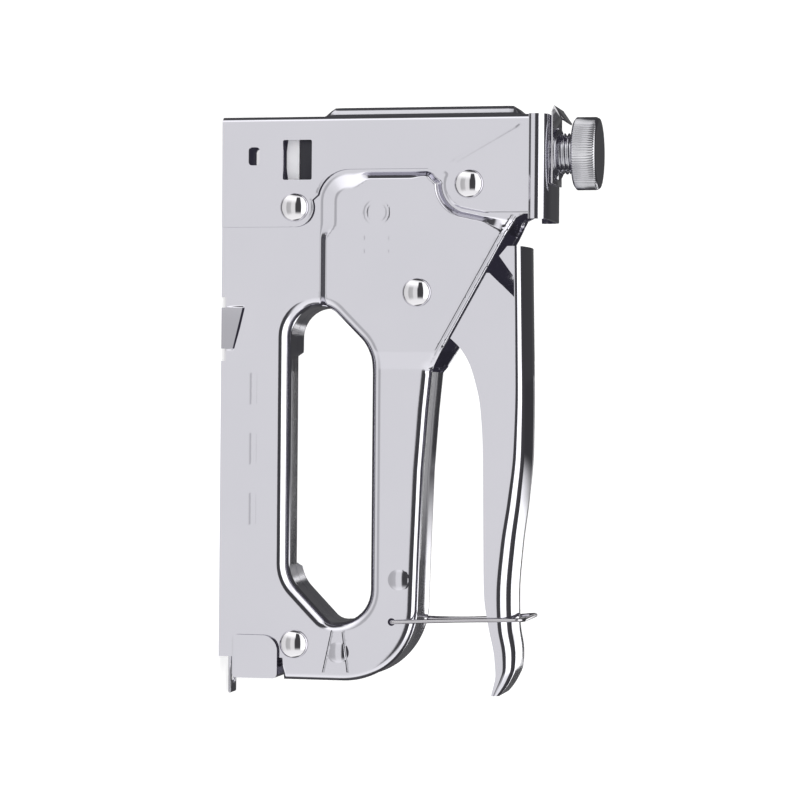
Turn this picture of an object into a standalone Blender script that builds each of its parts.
"""A hand-squeezed metal staple gun, built piece by piece in Blender 4.5 (metres, +Z up).

The gun stands on the open edge of its magazine. -X is the nose, +X the tail, +Z the side of the
power knob and of the squeeze lever, and the gun is symmetric about the plane y = 0.
All sizes below are in millimetres, and MM turns them into Blender's metres.
"""

from math import atan2, cos, hypot, pi, radians, sin, tan

import bmesh
import bpy
from mathutils import Matrix, Vector

MM = 0.001
GAP = 0.3  # air between pieces that touch on the real gun
SHEET = 1.2  # body and handle sheet steel

# Half widths (distance from the plane y = 0) of the outer faces.
SEAM = 0.15
BODY_Y = 10.8
PANEL_Y = 12.6
COVER_Y = 12.0
CAP_Y = 13.3
HANDLE_Y = 10.8
LATCH_Y = 12.4

# Body profile in the x-z plane.
NOSE_X = -84.0
NOSE_TOP = 97.0
REAR_X = 82.8
REAR_STEP = (76.3, 19.8)
CORNER = (60.3, 38.0)
CORNER_R = 22.5
GRIP_FRONT = (-9.0, 64.2)
EDGE_LOW = (-9.4, 64.3)
EDGE_HIGH = (-54.8, 89.5)

# Finger opening: corner x, corner z, corner radius.
OPENING = (
    (-28.6, 21.0, 9.0),
    (-28.6, 33.5, 7.0),
    (-16.0, 46.1, 11.0),
    (65.5, 46.1, 10.0),
    (65.5, 33.5, 5.0),
    (52.5, 21.0, 11.0),
)
LIP = 2.5  # depth of the turned-in lip round the opening
FLANGE_X = (-14.2, 49.5)  # where the lip runs on to meet the other shell

# Axes of the fasteners and pivots: x, z.
PIVOT = (-32.8, 60.3)
LOWER_RIVET = (-58.2, 22.7)
UPPER_RIVET = (-64.8, 75.6)
TAIL_RIVET = (72.1, 23.3)
BAIL_PIVOT = (64.8, 53.1)
ARM_PIN = (-33.0, 75.0)
DIMPLES = ((74.3, 36.9), (52.3, 55.2))
SHAFT_R = 1.9
HEAD_R = 4.4
HEAD_H = 1.9

# Nose column: the spring, screw and knob share one upright axis.
COLUMN_X = -74.3
COVER_FRONT = -85.3
COVER_SHEET = 0.9
RIB_FRONT = -88.2
WINDOW = ((-78.3, 19.0), (-66.4, 27.9))
SIGHT_SLOT = (-73.5, 10.1)
CAP_TOP = 99.1
SCREW_R = 6.1
THREAD_PITCH = 1.75
KNOB_R = 10.8
KNOB_Z = (105.1, 112.6)

# Striker column.
HAMMER_Z = (23.6, 38.0)
HAMMER_X = (-82.4, -66.6)
ARM_TIP = (-71.0, 29.5)
SEAT_Z = (84.0, 85.7)

# Magazine.
CHANNEL_X = (-82.2, 70.0)
CHANNEL_TOP = 15.6
CHANNEL_RISE = (-20.0, 55.0)  # where the channel's roof stands higher, behind the finger opening
RISE_TOP = 19.2
FAR_CUT_Z = 18.5  # the far plate's edge between the ends of the lip
RAIL_TOP = 8.0
RAIL_X = (-82.0, 74.0)
STRIP_END = -45.0
ROD_Z = 4.0
TAIL_TIP = 88.2

# Squeeze lever, from its front end to its curled tail: x, crown of the web, foot of the sides,
# radius of the bend between them.
LEVER = (
    (-46.5, 92.4, 85.0, 2.6),
    (-30.0, 92.7, 85.0, 2.6),
    (-16.0, 93.0, 80.0, 2.7),
    (0.0, 93.3, 79.0, 2.9),
    (14.0, 93.2, 80.0, 3.3),
    (28.0, 92.1, 80.2, 3.8),
    (42.0, 90.4, 80.6, 4.2),
    (56.0, 89.4, 80.8, 4.3),
    (66.0, 89.5, 82.4, 4.2),
    (74.0, 90.3, 84.0, 4.0),
    (80.0, 89.2, 84.6, 3.4),
    (84.0, 87.2, 83.8, 2.6),
    (86.6, 85.4, 83.2, 1.6),
)
LEVER_CROWN = 0.9

PARTS = "staple_gun"

COLOURS = {
    "chrome": ((0.78, 0.78, 0.80), 0.16, 1.0),
    "satin_chrome": ((0.72, 0.72, 0.74), 0.3, 1.0),
    "black_steel": ((0.06, 0.06, 0.07), 0.4, 0.8),
    "spring_steel": ((0.45, 0.45, 0.47), 0.3, 1.0),
    "zinc": ((0.66, 0.67, 0.68), 0.38, 1.0),
    "nylon": ((0.86, 0.86, 0.84), 0.45, 0.0),
}


# ---------------------------------------------------------------- scene and materials


def clear_scene():
    for obj in list(bpy.data.objects):
        bpy.data.objects.remove(obj)


def material(name):
    """One Principled material for each finish, made the first time it is asked for."""
    if name in bpy.data.materials:
        return bpy.data.materials[name]
    colour, roughness, metallic = COLOURS[name]
    made = bpy.data.materials.new(name)
    made.use_nodes = True
    shader = made.node_tree.nodes["Principled BSDF"]
    shader.inputs["Base Color"].default_value = (*colour, 1.0)
    shader.inputs["Roughness"].default_value = roughness
    shader.inputs["Metallic"].default_value = metallic
    return made


def parts_collection():
    if PARTS not in bpy.data.collections:
        bpy.context.scene.collection.children.link(bpy.data.collections.new(PARTS))
    return bpy.data.collections[PARTS]


def keep(obj, name, finish):
    """Files a finished piece under its own name, with its material and its smooth shading."""
    obj.name = name
    obj.data.name = name
    obj.data.materials.clear()
    obj.data.materials.append(material(finish))
    obj.data.shade_smooth()
    obj.data.set_sharp_from_angle(angle=radians(35))
    for old in list(obj.users_collection):
        old.objects.unlink(obj)
    parts_collection().objects.link(obj)
    return obj


def set_origin(obj, x, y, z):
    """Moves the object's origin to a point and leaves its shape where it is."""
    offset = Vector((x, y, z)) * MM
    obj.data.transform(Matrix.Translation(-offset))
    obj.location = offset


# ---------------------------------------------------------------- outlines


def arc(centre, radius, start, end, steps):
    """Points on an arc of the x-z plane, from start to end in degrees, both ends included."""
    angles = [radians(start + (end - start) * i / steps) for i in range(steps + 1)]
    return [(centre[0] + radius * cos(a), centre[1] + radius * sin(a)) for a in angles]


def rounded(corners, steps=4):
    """A closed outline from (x, z, radius) corners, each rounded by an arc."""
    outline = []
    for i, (x, z, radius) in enumerate(corners):
        before, after = corners[i - 1], corners[(i + 1) % len(corners)]
        if radius <= 0:
            outline.append((x, z))
            continue
        to_before = atan2(before[1] - z, before[0] - x)
        to_after = atan2(after[1] - z, after[0] - x)
        opening = (to_after - to_before + pi) % (2 * pi) - pi
        half = abs(opening) / 2
        reach = radius / sin(half)
        middle = to_before + opening / 2
        centre = (x + reach * cos(middle), z + reach * sin(middle))
        turn = (pi - 2 * half) * (-1 if opening > 0 else 1)
        first = to_before + (-pi / 2 if opening < 0 else pi / 2) + pi
        for k in range(steps + 1):
            a = first + turn * k / steps
            outline.append((centre[0] + radius * cos(a), centre[1] + radius * sin(a)))
    return outline


def grown(corners, distance):
    """Rounded corners moved outwards by a distance, for an outline given clockwise in x-z."""
    out = []
    count = len(corners)
    for i in range(count):
        x, z, radius = corners[i]
        px, pz, _ = corners[i - 1]
        nx, nz, _ = corners[(i + 1) % count]
        before = Vector((x - px, z - pz)).normalized()
        after = Vector((nx - x, nz - z)).normalized()
        normal_a = Vector((-before.y, before.x))
        normal_b = Vector((-after.y, after.x))
        push = (normal_a + normal_b) / (1 + normal_a.dot(normal_b)) * distance
        out.append((x + push.x, z + push.y, radius + distance))
    return out


# ---------------------------------------------------------------- solids


def to_mesh(obj):
    """Bakes an object's modifiers or curve into a plain mesh object with welded seams."""
    bpy.context.view_layer.update()
    graph = bpy.context.evaluated_depsgraph_get()
    data = bpy.data.meshes.new_from_object(obj.evaluated_get(graph))
    made = bpy.data.objects.new("solid", data)
    data.transform(obj.matrix_world)
    bpy.data.objects.remove(obj)
    bpy.context.scene.collection.objects.link(made)
    work = bmesh.new()
    work.from_mesh(data)
    bmesh.ops.remove_doubles(work, verts=work.verts, dist=1e-6)
    bmesh.ops.recalc_face_normals(work, faces=work.faces)
    work.to_mesh(data)
    work.free()
    return made


def plate(loops, low, high, lying=False):
    """A flat plate in the x-z plane, from y = low to high. Loops after the first are holes.

    A lying plate is in the x-y plane instead, from z = low to high.
    """
    curve = bpy.data.curves.new("plate", "CURVE")
    curve.dimensions = "2D"
    curve.fill_mode = "BOTH"
    curve.extrude = abs(high - low) / 2 * MM
    for loop in loops:
        spline = curve.splines.new("POLY")
        spline.points.add(len(loop) - 1)
        for point, (u, v) in zip(spline.points, loop):
            point.co = (u * MM, v * MM, 0, 1)
        spline.use_cyclic_u = True
    obj = bpy.data.objects.new("plate", curve)
    middle = (low + high) / 2 * MM
    if lying:
        obj.location = (0, 0, middle)
    else:
        obj.rotation_euler = (pi / 2, 0, 0)
        obj.location = (0, middle, 0)
    bpy.context.scene.collection.objects.link(obj)
    return to_mesh(obj)


def box(x, y, z):
    """A box between the two values given for each axis."""
    bpy.ops.mesh.primitive_cube_add(size=1)
    obj = bpy.context.object
    sides = [Vector(pair) for pair in (x, y, z)]
    scale = Matrix.Diagonal([abs(s[1] - s[0]) * MM for s in sides] + [1])
    place = Matrix.Translation([(s[0] + s[1]) / 2 * MM for s in sides])
    obj.data.transform(place @ scale)
    return obj


def cylinder(centre, radius, span, axis="Y", sides=20):
    """A cylinder along an axis through centre, a point of the plane across that axis."""
    depth = abs(span[1] - span[0]) * MM
    bpy.ops.mesh.primitive_cylinder_add(vertices=sides, radius=radius * MM, depth=depth)
    obj = bpy.context.object
    middle = (span[0] + span[1]) / 2
    if axis == "Y":
        turn, place = Matrix.Rotation(pi / 2, 4, "X"), (centre[0], middle, centre[1])
    elif axis == "X":
        turn, place = Matrix.Rotation(pi / 2, 4, "Y"), (middle, centre[0], centre[1])
    else:
        turn, place = Matrix.Identity(4), (centre[0], centre[1], middle)
    obj.data.transform(Matrix.Translation(Vector(place) * MM) @ turn)
    return obj


def turned(profile, steps=24):
    """A turned solid about +Z from (radius, height) points. A closed ring or a shaft from axis to axis."""
    data = bpy.data.meshes.new("turned")
    points = [(r * MM, 0, h * MM) for r, h in profile]
    edges = [(i, i + 1) for i in range(len(points) - 1)]
    if profile[0][0] > 0 and profile[-1][0] > 0:
        edges.append((len(points) - 1, 0))
    data.from_pydata(points, edges, [])
    obj = bpy.data.objects.new("turned", data)
    bpy.context.scene.collection.objects.link(obj)
    screw = obj.modifiers.new("turn", "SCREW")
    screw.steps = screw.render_steps = steps
    screw.use_merge_vertices = True
    screw.merge_threshold = 1e-5
    return to_mesh(obj)


def wire(points, radius, resolution=1):
    """A round wire along points of the x, y, z space, with closed ends."""
    curve = bpy.data.curves.new("wire", "CURVE")
    curve.dimensions = "3D"
    curve.bevel_depth = radius * MM
    curve.bevel_resolution = resolution
    curve.use_fill_caps = True
    spline = curve.splines.new("POLY")
    spline.points.add(len(points) - 1)
    for point, place in zip(spline.points, points):
        point.co = (*[c * MM for c in place], 1)
    obj = bpy.data.objects.new("wire", curve)
    bpy.context.scene.collection.objects.link(obj)
    return to_mesh(obj)


def boolean(target, tool, operation):
    change = target.modifiers.new("change", "BOOLEAN")
    change.operation = operation
    change.solver = "EXACT"
    change.object = tool
    made = to_mesh(target)
    bpy.data.objects.remove(tool)
    return made


def cut(target, *tools):
    for tool in tools:
        target = boolean(target, tool, "DIFFERENCE")
    return target


def join(target, *tools):
    for tool in tools:
        target = boolean(target, tool, "UNION")
    return target


def mirrored(obj):
    """The same piece on the other side of the gun."""
    other = obj.copy()
    other.data = obj.data.copy()
    other.data.transform(Matrix.Scale(-1, 4, (0, 1, 0)))
    other.data.flip_normals()
    bpy.context.scene.collection.objects.link(other)
    return other


# ---------------------------------------------------------------- body shells


def body_outline(inset=0.0):
    """The curved tail, from the step above the latch round to the front of the grip."""
    corner = arc(CORNER, CORNER_R - inset, 0, 90, 8)
    return [(REAR_X - inset, REAR_STEP[1]), *corner, (GRIP_FRONT[0], GRIP_FRONT[1] - inset)]


def panel_outline(inset=0.0):
    """The raised panel that makes room for the lever. The inset one runs on past the open edge."""
    beyond = 8.0 if inset else 0.0
    rivet_sweep = arc(UPPER_RIVET, 8.3 + inset, -95, -8, 5)
    lower_left = arc((-59.9, 39.2), 9.0 - inset, 270, 180, 4)
    upper_left = arc((-65.9, 62.5), 3.0 - inset, 180, 120, 2)
    return [
        (-31.0, 30.2 + inset),
        *lower_left,
        *upper_left,
        *rivet_sweep,
        (-55.2 + inset, 80.0),
        (-55.2 + inset, EDGE_HIGH[1] + beyond),
        (EDGE_HIGH[0] + beyond, EDGE_HIGH[1] + beyond),
        (EDGE_LOW[0] + beyond - inset, EDGE_LOW[1] + beyond),
        (EDGE_LOW[0] - inset, GRIP_FRONT[1] - inset * 1.1),
        (-10.5 - inset, GRIP_FRONT[1] - inset * 1.1),
        (-10.5 - inset, 49.6 + inset),
        (-17.6, 49.6 + inset),
        (-31.0, 36.2 + inset),
    ]


def shell_tab():
    """The notch in the lower edge and the slanting cut that leave a sprung tab."""
    notch = plate([[(-31.5, -1), (-31.5, 1.0), (-28.3, 1.0), (-28.3, -1)]], 5, 12)
    other = plate([[(-16.0, -1), (-16.0, 1.0), (-12.3, 1.0), (-12.3, -1)]], 5, 12)
    slant = plate([[(-28.3, 6.4), (-28.3, 7.4), (-16.0, 4.4), (-16.0, 3.4)]], 5, 12)
    return notch, other, slant


def body_shell():
    """One half of the body, built on the +Y side."""
    outline = [
        (NOSE_X, 0.0),
        (REAR_STEP[0], 0.0),
        REAR_STEP,
        *body_outline(),
        EDGE_LOW,
        EDGE_HIGH,
        (-56.3, 92.2),
        (-56.3, NOSE_TOP),
        (NOSE_X, NOSE_TOP),
    ]
    far = 106.0
    hollow = [
        (NOSE_X - 5, -5.0),
        (REAR_X + 5, -5.0),
        (REAR_X + 5, REAR_STEP[1] - 0.4),
        (REAR_X - SHEET, REAR_STEP[1] - 0.4),
        *body_outline(SHEET)[1:-1],
        (GRIP_FRONT[0] + 0.1, GRIP_FRONT[1] - SHEET),
        (GRIP_FRONT[0] + 0.1, far),
        (NOSE_X - 5, far),
    ]
    shell = plate([outline], SEAM, BODY_Y)
    shell = cut(shell, plate([hollow, rounded(grown(OPENING, SHEET))], -1, BODY_Y - SHEET))
    shell = join(shell, plate([panel_outline()], BODY_Y - SHEET / 2, PANEL_Y))
    shell = cut(shell, plate([panel_outline(SHEET)], BODY_Y - SHEET - 0.5, PANEL_Y - SHEET))
    shell = cut(shell, plate([rounded(OPENING)], -1, 20))
    lip_y = BODY_Y - LIP
    shell = cut(shell, box(FLANGE_X, (-1, lip_y), (18, 30)))
    for x, z in DIMPLES:
        dome = cylinder((x, z), 3.1, (BODY_Y - 0.5, BODY_Y + 0.5), sides=16)
        shell = join(shell, dome)
    holes = [cylinder(at, SHAFT_R + GAP, (5, 15), sides=16) for at in (PIVOT, LOWER_RIVET, UPPER_RIVET, TAIL_RIVET)]
    holes.append(cylinder(BAIL_PIVOT, 1.1, (5, 15), sides=12))
    (x0, z0), (x1, z1) = WINDOW
    holes.append(box((x0 - 0.4, x1 + 0.4), (5, 15), (z0 - 0.4, z1 + 0.4)))
    holes.append(box((SIGHT_SLOT[0] - 3, SIGHT_SLOT[0] + 3), (5, 15), (SIGHT_SLOT[1] - 1.8, SIGHT_SLOT[1] + 1.8)))
    return cut(shell, *holes, *shell_tab())


def make_shells():
    left = body_shell()
    keep(mirrored(left), "near_shell", "chrome")
    far = cut(left, box(FLANGE_X, (5, 15), (FAR_CUT_Z, 22)))
    keep(far, "far_shell", "chrome")


# ---------------------------------------------------------------- nose


def cover_edge():
    """The free edge of the nose cover, from its lower corner to its upper one."""
    lower_ear = arc(LOWER_RIVET, 5.8, -10, 112, 7)
    panel_corner = arc((-59.9, 39.2), 9.5, 258, 180, 5)
    upper_ear = arc(UPPER_RIVET, 7.8, -112, -12, 7)
    return [
        (-52.4, 0.3),
        (-52.4, 21.0),
        *lower_ear,
        *panel_corner,
        (-69.4, 63.0),
        *upper_ear,
        (-56.0, 80.0),
        (-56.0, NOSE_TOP + 0.5),
    ]


def make_nose_cover():
    """A thin sheet folded round the front of the gun, with a raised rib for the driver."""
    inner = COVER_Y - COVER_SHEET
    back = -50.0
    fold = 1.6
    outer_plan = [
        (back, COVER_Y),
        *[(x, y) for x, y in arc((COVER_FRONT + fold, COVER_Y - fold), fold, 90, 180, 4)],
        *[(x, y) for x, y in arc((COVER_FRONT + fold, -COVER_Y + fold), fold, 180, 270, 4)],
        (back, -COVER_Y),
    ]
    inner_plan = [
        (back + 1, inner),
        *[(x, y) for x, y in arc((COVER_FRONT + fold, COVER_Y - fold), fold - COVER_SHEET, 90, 180, 4)],
        *[(x, y) for x, y in arc((COVER_FRONT + fold, -COVER_Y + fold), fold - COVER_SHEET, 180, 270, 4)],
        (back + 1, -inner),
    ]
    cover = plate([outer_plan], 0.3, NOSE_TOP + 0.5, lying=True)
    cover = cut(cover, plate([inner_plan], -1, NOSE_TOP + 2, lying=True))
    beyond = [*cover_edge(), (-56.0, 110), (-40, 110), (-40, -5), (-52.4, -5)]
    cover = cut(cover, plate([beyond], -20, 20))
    rib = [(COVER_FRONT + 0.4, 30.0), (RIB_FRONT, 33.2), (RIB_FRONT, 89.8), (COVER_FRONT + 0.4, 93.0)]
    room = [(COVER_FRONT + 2, 30.2), (RIB_FRONT + 1, 34.0), (RIB_FRONT + 1, 89.0), (COVER_FRONT + 2, 92.8)]
    cover = join(cover, plate([rib], -6.5, 6.5))
    cover = cut(cover, plate([room], -5.6, 5.6))
    (x0, z0), (x1, z1) = WINDOW
    cover = cut(cover, box((x0, x1), (-20, 20), (z0, z1)))
    slot = rounded([(SIGHT_SLOT[0] + dx, SIGHT_SLOT[1] + dz, 1.2) for dx, dz in ((-2.7, -1.6), (-2.7, 1.6), (2.7, 1.6), (2.7, -1.6))], 2)
    cover = cut(cover, plate([slot], -20, 20))
    for at in (LOWER_RIVET, UPPER_RIVET):
        cover = cut(cover, cylinder(at, SHAFT_R + GAP, (-20, 20), sides=16))
    keep(cover, "nose_cover", "chrome")


def make_top_cap():
    """The channel that closes the top of the nose and carries the threaded bush."""
    cap = box((COVER_FRONT, -54.4), (-CAP_Y, CAP_Y), (93.5, CAP_TOP))
    edges = cap.modifiers.new("edges", "BEVEL")
    edges.width = 0.9 * MM
    edges.segments = 2
    edges.limit_method = "ANGLE"
    cap = to_mesh(cap)
    cap = cut(cap, box((COVER_FRONT - 5, -55.6), (-CAP_Y + 1, CAP_Y - 1), (90, CAP_TOP - SHEET)))
    cap = cut(cap, cylinder((COLUMN_X, 0), 7.5, (90, 110), axis="Z", sides=28))
    keep(cap, "top_cap", "chrome")


def make_bush():
    profile = [(6.4, 94.0), (7.2, 94.0), (7.2, 100.2), (8.1, 100.2), (8.1, 100.8), (7.0, 101.4), (6.4, 101.4)]
    bush = turned(profile[::-1], 28)
    bush.data.transform(Matrix.Translation((COLUMN_X * MM, 0, 0)))
    keep(bush, "adjuster_bush", "zinc")


def make_detent_spring():
    """A leaf clamped under the bush, folded back at the front to click on the knob's rim."""
    leaf = [(-65.0, 99.4), (-86.4, 99.4), (-88.1, 100.3), (-83.6, 103.0), (-83.3, 102.5), (-86.9, 100.35), (-86.2, 99.9), (-65.0, 99.9)]
    spring = plate([leaf], -8.7, 8.7)
    spring = cut(spring, cylinder((COLUMN_X, 0), 7.5, (90, 110), axis="Z", sides=28))
    keep(spring, "detent_spring", "spring_steel")


def make_adjuster():
    """The power screw with its knurled knob pressed on its upper end."""
    crest, root = SCREW_R, SCREW_R - 0.55
    bottom = SEAT_Z[1] + GAP
    profile = [(0, bottom), (root - 0.4, bottom), (root, bottom + 0.8)]
    height = bottom + 0.8
    while height + THREAD_PITCH < KNOB_Z[0] - GAP:
        profile += [(crest, height + THREAD_PITCH * 0.5), (root, height + THREAD_PITCH)]
        height += THREAD_PITCH
    profile += [(3.5, height), (3.5, KNOB_Z[1] - 1.6), (0, KNOB_Z[1] - 1.6)]
    screw = turned(profile[::-1], 16)
    screw.data.transform(Matrix.Translation((COLUMN_X * MM, 0, 0)))
    keep(screw, "adjuster_screw", "zinc")
    set_origin(screw, COLUMN_X, 0, KNOB_Z[0])

    low, high = KNOB_Z
    bore = 3.5 + GAP
    rim = [
        (0, high - 1.3),
        (bore, high - 1.3),
        (bore, low),
        (KNOB_R - 0.7, low),
        (KNOB_R, low + 0.7),
        (KNOB_R, high - 0.7),
        (KNOB_R - 0.7, high),
        (0, high),
    ]
    knob = turned(rim[::-1], 40)
    knob.data.transform(Matrix.Translation((COLUMN_X * MM, 0, 0)))
    keep(knob, "adjuster_knob", "zinc")
    set_origin(knob, COLUMN_X, 0, low)


def make_rivets():
    """Domed rivets right through the gun, each head on the face that it clamps."""
    rivets = (
        ("pivot_rivet", PIVOT, PANEL_Y),
        ("lower_nose_rivet", LOWER_RIVET, COVER_Y),
        ("upper_nose_rivet", UPPER_RIVET, COVER_Y),
        ("tail_rivet", TAIL_RIVET, BODY_Y),
    )
    for name, (x, z), face in rivets:
        seat = face + GAP
        dome_r = (HEAD_R**2 + HEAD_H**2) / (2 * HEAD_H)
        rise = [0, 0.35, 0.65, 0.88]
        dome = [(HEAD_R * cos(pi / 2 * t), seat + (dome_r**2 - (HEAD_R * cos(pi / 2 * t)) ** 2) ** 0.5 - dome_r + HEAD_H) for t in rise]
        dome.append((0, seat + HEAD_H))
        near_side = [(r, -h) for r, h in dome[::-1]]
        profile = near_side + [(SHAFT_R, -seat), (SHAFT_R, seat)] + dome
        rivet = turned(profile[::-1], 20)
        rivet.data.transform(Matrix.Translation((x * MM, 0, z * MM)) @ Matrix.Rotation(-pi / 2, 4, "X"))
        keep(rivet, name, "chrome")


# ---------------------------------------------------------------- striker


def make_striker():
    """The hammer that the lever lifts, the driver blade on its face and the buffer below it."""
    hammer = box(HAMMER_X, (-8.6, 8.6), HAMMER_Z)
    hammer = join(hammer, cylinder((COLUMN_X, 0), 4.4, (HAMMER_Z[1] - 1, HAMMER_Z[1] + 4.5), axis="Z", sides=20))
    hammer = cut(hammer, box((-80.4, -60), (-3.0, 3.0), (25.6, 34.0)))
    keep(hammer, "hammer", "black_steel")

    blade = box((-83.9, HAMMER_X[0] - GAP), (-5.4, 5.4), (1.5, 34.0))
    keep(blade, "driver_blade", "spring_steel")

    sag = [(-82.3, 20.9), (-79.5, 20.0), (-75.0, 19.5), (-70.0, 19.5), (-66.0, 20.0), (-63.0, 20.9), (-63.0, 23.3), (-82.3, 23.3)]
    keep(plate([sag], -9.2, 9.2), "buffer", "nylon")

    guide = box((-82.3, -62.6), (-9.2, 9.2), (CHANNEL_TOP + GAP, 19.2))
    keep(guide, "nose_block", "zinc")

    seat = turned([(0, SEAT_Z[0] - 3.5), (4.4, SEAT_Z[0] - 3.5), (4.4, SEAT_Z[0]), (8.2, SEAT_Z[0]), (8.2, SEAT_Z[1]), (0, SEAT_Z[1])][::-1], 24)
    seat.data.transform(Matrix.Translation((COLUMN_X * MM, 0, 0)))
    keep(seat, "spring_seat", "zinc")


def coil(centre, radius, start, end, turns, axis, per_turn=12, phase=0.0):
    """Points of a helix of mean radius about an axis, from start to end along it."""
    points = []
    count = int(turns * per_turn)
    for i in range(count + 1):
        a = 2 * pi * turns * i / count + phase
        along = start + (end - start) * i / count
        u, v = radius * cos(a), radius * sin(a)
        if axis == "Z":
            points.append((centre[0] + u, centre[1] + v, along))
        elif axis == "X":
            points.append((along, centre[0] + u, centre[1] + v))
        else:
            points.append((centre[0] + u, along, centre[1] + v))
    return points


def make_springs():
    main = coil((COLUMN_X, 0), 6.0, HAMMER_Z[1] + 1.3, SEAT_Z[0] - 1.3, 8, "Z")
    keep(wire(main, 0.9), "main_spring", "spring_steel")

    feed = coil((0, ROD_Z), 1.9, -33.6, 73.0, 13, "X", 10)
    keep(wire(feed, 0.4), "feed_spring", "spring_steel")

    catch = coil((0, 14.4), 2.2, 76.9, 80.3, 3, "X", 10)
    keep(wire(catch, 0.4), "latch_spring", "spring_steel")

    turns = 2.5
    loops = coil(PIVOT, 5.6, 4.2, 8.2, turns, "Y", 12, pi)
    body_leg = [(-53.0, 4.2, 27.6), (-38.6, 4.2, 58.6)]
    lever_leg = [(PIVOT[0] + 5.8, 8.2, PIVOT[1] + 2.0), (-22.5, 8.2, 84.5)]
    keep(wire(body_leg + loops + lever_leg, 0.6), "return_spring", "spring_steel")


# ---------------------------------------------------------------- lever


def lever_section(x, crown, foot, bend, steps=4):
    """The (y, z) loop of the folded lever at one station: outside from foot to foot, then inside."""
    narrow = 1.4 * max(0.0, (x - 60.0) / 27.0) ** 2
    half = HANDLE_Y - narrow
    lift = LEVER_CROWN * min(1.0, max(0.0, crown - foot - 4.4) / 5)
    shoulder = crown - lift
    inner = max(bend - SHEET, 0.4)
    outside = [(half, foot)]
    outside += [(half - bend + bend * cos(a), shoulder - bend + bend * sin(a)) for a in [pi / 2 * i / steps for i in range(steps + 1)]]
    outside.append((0.0, crown))
    outside += [(-y, z) for y, z in outside[-2::-1]]
    wall = half - SHEET
    roof = shoulder - SHEET
    inside = [(wall, foot)]
    inside += [(wall - inner + inner * cos(a), roof - inner + inner * sin(a)) for a in [pi / 2 * i / steps for i in range(steps + 1)]]
    inside.append((0.0, crown - SHEET))
    inside += [(-y, z) for y, z in inside[-2::-1]]
    return outside + inside[::-1]


def lever_ear(side):
    """The plate that reaches from the lever into the body and round the pivot."""
    hub = arc(PIVOT, 7.2, 175, 330, 9)
    outline = [(-38.6, 81.7), *hub, (-19.6, 69.9), (-16.4, 73.2), (-11.3, 76.2), (-5.6, 78.0), (0.0, 79.3), (-6.0, 86.5), (-30.5, 88.6)]
    inner, outer = HANDLE_Y - SHEET + 0.1, HANDLE_Y - 0.1
    return plate([outline], *sorted((side * inner, side * outer)))


def make_handle():
    """The folded steel lever: a lofted channel, two ears, and the relief cuts near its front."""
    work = bmesh.new()
    rings = []
    for station in LEVER:
        loop = lever_section(*station)
        rings.append([work.verts.new((station[0] * MM, y * MM, z * MM)) for y, z in loop])
    count = len(rings[0])
    for a, b in zip(rings, rings[1:]):
        for i in range(count):
            work.faces.new((a[i], a[(i + 1) % count], b[(i + 1) % count], b[i]))
    half = count // 2
    for i in range(half - 1):
        j = count - 1 - i
        work.faces.new((rings[0][i], rings[0][i + 1], rings[0][j - 1], rings[0][j]))
        work.faces.new((rings[-1][i], rings[-1][i + 1], rings[-1][j - 1], rings[-1][j]))
    bmesh.ops.recalc_face_normals(work, faces=work.faces)
    data = bpy.data.meshes.new("lever")
    work.to_mesh(data)
    work.free()
    lever = bpy.data.objects.new("lever", data)
    bpy.context.scene.collection.objects.link(lever)

    x, crown, foot, _ = LEVER[-1]
    lever = join(lever, box((x - 1.6, x - 0.2), (-9.0, 9.0), (foot + 0.2, crown - 1.1)))
    lever = join(lever, lever_ear(-1), lever_ear(1))
    notch = [(-44.5, 83.2), (-36.4, 89.0), (-30.3, 89.0), (-38.6, 81.7), (-39.5, 79.5), (-47.0, 79.5)]
    lever = cut(lever, plate([notch], -20, 0))
    corner = [(-48, 88.6), (-46.5, 87.5), (-42.3, 84.4), (-43.5, 82), (-50, 82)]
    lever = cut(lever, plate([corner], -20, 20))
    for at, radius in ((PIVOT, SHAFT_R + GAP), (ARM_PIN, 2.0 + GAP)):
        lever = cut(lever, cylinder(at, radius, (-20, 20), sides=16))
    keep(lever, "squeeze_handle", "chrome")
    set_origin(lever, PIVOT[0], 0, PIVOT[1])


def make_lift_arm():
    """The steel arm on the lever's pivot whose nose lifts the hammer."""
    tip = arc(ARM_TIP, 3.0, 80, 280, 8)
    hub = arc(PIVOT, 6.5, 320, 395, 5)
    outline = [(-68.0, 32.2), *tip, (-68.0, 27.0), (-60.5, 28.8), (-50.0, 33.5), (-38.0, 50.0), *hub, (-28.4, 76.0), (-31.0, 79.0), (-36.5, 78.6), (-38.8, 72.0), (-42.0, 61.0), (-51.0, 45.0), (-60.5, 34.6)]
    arm = plate([outline], -2.5, 2.5)
    arm = join(arm, cylinder(PIVOT, 4.4, (-9.3, 9.3), sides=20))
    arm = cut(arm, cylinder(PIVOT, SHAFT_R + GAP, (-20, 20), sides=16))
    arm = cut(arm, cylinder(ARM_PIN, 2.0 + GAP, (-20, 20), sides=16))
    keep(arm, "lift_arm", "black_steel")
    set_origin(arm, PIVOT[0], 0, PIVOT[1])

    keep(cylinder(ARM_PIN, 2.0, (-10.9, 10.9), sides=16), "arm_pin", "black_steel")


# ---------------------------------------------------------------- spacers, magazine, latch


def make_spacers():
    for name, at in (("nose_spacer", LOWER_RIVET), ("tail_spacer", TAIL_RIVET)):
        tube = cylinder(at, 3.2, (-9.3, 9.3), sides=16)
        keep(cut(tube, cylinder(at, SHAFT_R + GAP, (-20, 20), sides=16)), name, "zinc")


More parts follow.
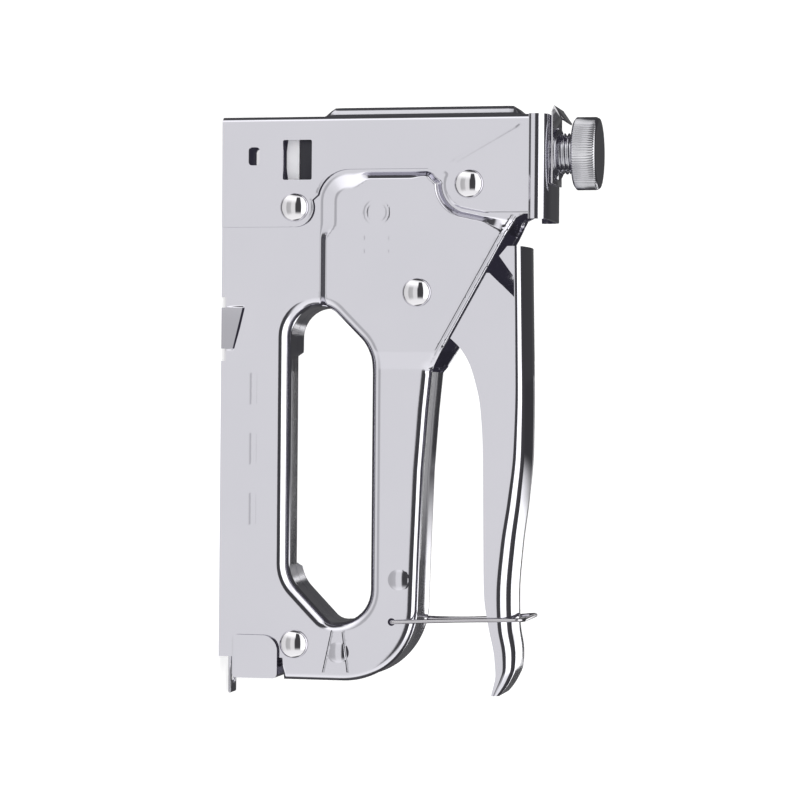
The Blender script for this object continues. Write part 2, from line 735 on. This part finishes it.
def make_magazine():
    """The fixed channel, and the rail, staples and follower that slide out of it."""
    channel = box(CHANNEL_X, (-7.4, 7.4), (0, CHANNEL_TOP))
    channel = join(channel, box(CHANNEL_RISE, (-7.4, 7.4), (CHANNEL_TOP - 2, RISE_TOP)))
    channel = cut(channel, box((-90, 90), (-6.4, 6.4), (-5, CHANNEL_TOP - 1)))
    raised = (CHANNEL_RISE[0] + 1, CHANNEL_RISE[1] - 1)
    channel = cut(channel, box(raised, (-6.4, 6.4), (CHANNEL_TOP - 3, RISE_TOP - 1)))
    keep(channel, "magazine_channel", "satin_chrome")

    rail = box(RAIL_X, (-4.7, 4.7), (0.5, RAIL_TOP))
    rail = cut(rail, box((-90, 90), (-3.8, 3.8), (-5, RAIL_TOP - 0.9)))
    rail = join(rail, box((RAIL_X[1] - 0.5, RAIL_X[1] + 1.0), (-5.7, 5.7), (0.5, RAIL_TOP + 1.6)))
    rail = cut(rail, box((-70, 70), (-2.2, 2.2), (5, 10)))
    keep(rail, "magazine_rail", "zinc")

    rod = cylinder((0, ROD_Z), 0.9, (-38.0, RAIL_X[1] - 0.8), axis="X", sides=10)
    keep(rod, "feed_rod", "spring_steel")

    strip = box((RAIL_X[0] + 0.4, STRIP_END), (-5.6, 5.6), (1.2, 8.9))
    strip = cut(strip, box((-90, 0), (-5.0, 5.0), (-5, 8.3)))
    keep(strip, "staple_strip", "zinc")

    back = STRIP_END + 10.5
    follower = box((STRIP_END + GAP, back), (-5.7, 5.7), (2.0, 9.8))
    follower = cut(follower, box((-90, 90), (-5.0, 5.0), (-5, 8.3)))
    follower = join(follower, box((back - 1.4, back), (-1.9, 1.9), (1.8, 9.0)))
    follower = cut(follower, cylinder((0, ROD_Z), 1.2, (-60, 0), axis="X", sides=12))
    keep(follower, "staple_follower", "zinc")

    tab = plate([[(75.3, 0.9), (TAIL_TIP - 0.4, 0.9), (TAIL_TIP, 1.3), (TAIL_TIP - 0.4, 1.7), (76.5, 1.7), (76.5, 7.5), (75.3, 7.5)]], -3.2, 3.2)
    tab = cut(tab, cylinder((83.6, 0), 1.5, (-5, 5), axis="Z", sides=14))
    keep(tab, "pull_tab", "chrome")


def make_latch():
    """The sprung cap over the tail of the magazine, and the block that its spring pushes on."""
    low, high = 4.6, 18.5
    front, rear = 69.6, 82.4
    outline = rounded([(front, low, 0.6), (front, high, 4.2), (rear, high, 0.8), (rear, low, 0.6)], 3)
    cap = plate([outline], -LATCH_Y, LATCH_Y)
    cap = cut(cap, box((60, rear - 1.2), (-LATCH_Y + 1.2, LATCH_Y - 1.2), (0, 30)))
    cap = cut(cap, box((rear - 4, rear + 5), (-LATCH_Y + 3, LATCH_Y - 3), (0, 10.8)))
    keep(cap, "magazine_latch", "chrome")

    keep(box((CHANNEL_X[1] + 0.5, 76.0), (-9.2, 9.2), (10.9, 18.0)), "tail_block", "zinc")


# ---------------------------------------------------------------- lock wire


def make_bail():
    """The wire loop that holds the lever closed: two legs from the grip and a bar across the lever."""
    leg_y = BODY_Y + 1.1
    bar = (63.2, 93.2)
    bend = 2.2
    px, pz = BAIL_PIVOT
    run = Vector((bar[0] - px, bar[1] - pz))
    along = run / hypot(*run)
    corner_start = Vector(bar) - along * bend

    def corner(y_sign):
        points = []
        for i in range(5):
            a = pi / 2 * i / 4
            at = corner_start + along * (bend * sin(a))
            points.append((at.x, y_sign * (leg_y - bend + bend * cos(a)), at.y))
        return points

    foot = [(px, -8.4, pz), (px, -leg_y + 1.2, pz)]
    turn = [(px + along.x * 1.2 * (1 - cos(a)), -leg_y + 1.2 * (1 - sin(a)), pz + along.y * 1.2 * (1 - cos(a))) for a in (pi / 6, pi / 3, pi / 2)]
    near_leg = [(px + run.x * t, -leg_y, pz + run.y * t) for t in (0.3, 0.6)]
    half = foot + turn + near_leg + corner(-1)
    path = half + [(x, -y, z) for x, y, z in half[::-1]]
    bail = wire(path, 0.75, 1)
    keep(bail, "lock_bail", "spring_steel")
    set_origin(bail, px, 0, pz)


def main():
    clear_scene()
    make_shells()
    make_nose_cover()
    make_top_cap()
    make_bush()
    make_detent_spring()
    make_adjuster()
    make_rivets()
    make_striker()
    make_springs()
    make_handle()
    make_lift_arm()
    make_spacers()
    make_magazine()
    make_latch()
    make_bail()


main()
